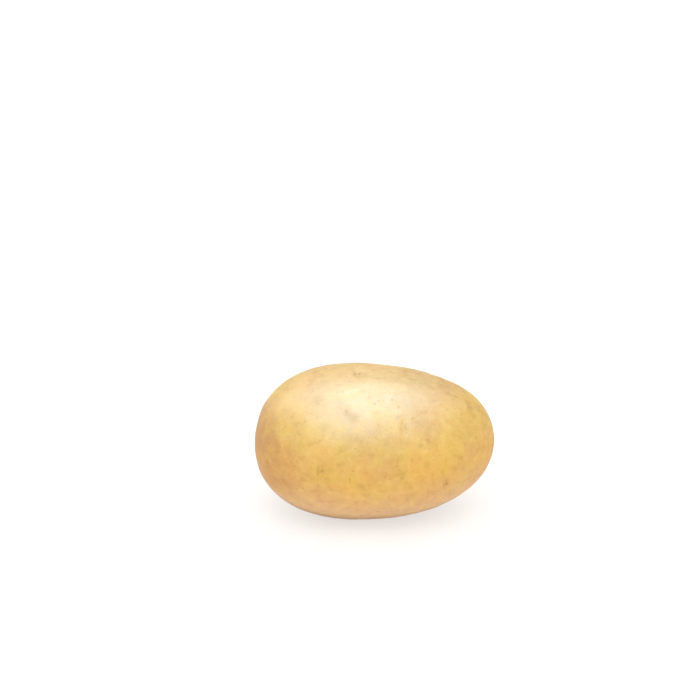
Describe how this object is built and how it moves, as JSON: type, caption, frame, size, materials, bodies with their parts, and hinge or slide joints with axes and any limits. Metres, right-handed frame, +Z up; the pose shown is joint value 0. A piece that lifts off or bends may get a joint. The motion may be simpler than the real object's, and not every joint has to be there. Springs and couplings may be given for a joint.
{
  "type": "potato",
  "caption": "Long-oval, yellow-skinned potato tuber with shallow eyes and a stolon scar at its heel, lying on a small flat spot.",
  "frame": {"origin": "on the surface that the tuber rests on, under the middle of its length and width", "axes": "+X along the tuber from the heel to the rose end, +Y from front to back, +Z up"},
  "size_m": [0.09, 0.063, 0.0555],
  "materials": {
    "skin": "thin satin skin, golden yellow with tan mottling, fine dark specks and darker eyes"
  },
  "bodies": {
    "root": {"potato": "skin"}
  },
  "joints": []
}
